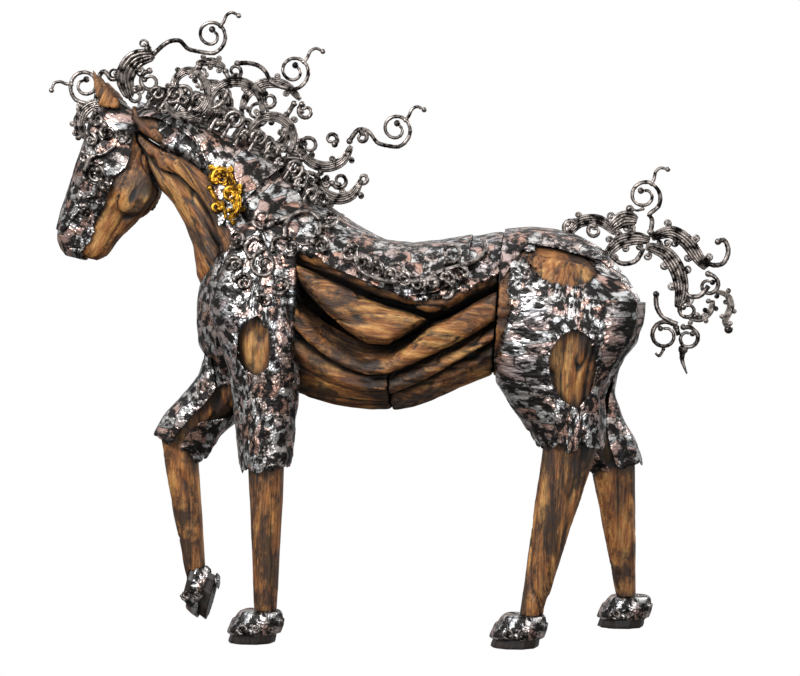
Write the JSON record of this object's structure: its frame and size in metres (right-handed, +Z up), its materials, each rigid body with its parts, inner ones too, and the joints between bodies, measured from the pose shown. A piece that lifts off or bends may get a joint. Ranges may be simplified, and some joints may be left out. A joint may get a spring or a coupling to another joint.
{
  "type": "horse statue",
  "caption": "Life-size driftwood horse with one foreleg raised, hammered sheet metal cladding, and a mane and tail of cast metal scrolls.",
  "frame": {"origin": "middle of the statue's box in plan, on the floor under the hooves", "axes": "+X from head to tail, -Y towards the horse's left side, +Z up"},
  "size_m": [2.4976, 0.689, 2.2625],
  "materials": {
    "driftwood": "weathered driftwood",
    "charred_hoof": "charred wood",
    "sheet_metal": "hammered, dark patina",
    "cast_scrollwork": "cast, antiqued"
  },
  "bodies": {
    "root": {"back_scroll_left": "cast_scrollwork", "back_scroll_right": "cast_scrollwork", "back_sheet": "sheet_metal", "back_slab": "driftwood", "belly_front_slab": "driftwood", "belly_rear_slab": "driftwood", "chest_block": "driftwood", "chest_sheet": "sheet_metal", "crest_sheet": "sheet_metal", "croup_block": "driftwood", "croup_sheet": "sheet_metal", "ear_left": "driftwood", "ear_right": "driftwood", "face_scroll_left": "cast_scrollwork", "face_scroll_right": "cast_scrollwork", "face_sheet": "sheet_metal", "flank_middle_slab_left": "driftwood", "flank_middle_slab_right": "driftwood", "flank_rear_strip_left": "driftwood", "flank_rear_strip_right": "driftwood", "flank_upper_slab_left": "driftwood", "flank_upper_slab_right": "driftwood", "forelock_scroll": "cast_scrollwork", "head_block": "driftwood", "hip_sheet_left": "sheet_metal", "hip_sheet_right": "sheet_metal", "hoof_cover_fore_left": "sheet_metal", "hoof_cover_fore_right": "sheet_metal", "hoof_cover_hind_left": "sheet_metal", "hoof_cover_hind_right": "sheet_metal", "hoof_fore_left": "charred_hoof", "hoof_fore_right": "charred_hoof", "hoof_hind_left": "charred_hoof", "hoof_hind_right": "charred_hoof", "leg_fore_left": "driftwood", "leg_fore_right": "driftwood", "leg_hind_left": "driftwood", "leg_hind_right": "driftwood", "mane_far_rings": "cast_scrollwork", "mane_front_comb": "cast_scrollwork", "mane_great_ring": "cast_scrollwork", "mane_long_lock": "cast_scrollwork", "mane_low_lock": "cast_scrollwork", "mane_poll_scroll": "cast_scrollwork", "mane_ring_scroll": "cast_scrollwork", "neck_crest_slab": "driftwood", "neck_side_slab_left": "driftwood", "neck_side_slab_right": "driftwood", "neck_throat_slab": "driftwood", "shoulder_scroll_left": "cast_scrollwork", "shoulder_scroll_right": "cast_scrollwork", "shoulder_sheet_left": "sheet_metal", "shoulder_sheet_right": "sheet_metal", "tail_drop_rings": "cast_scrollwork", "tail_inner_arc": "cast_scrollwork", "tail_outer_arc": "cast_scrollwork", "tail_root_scroll": "cast_scrollwork", "tail_upper_curl": "cast_scrollwork"}
  },
  "joints": []
}
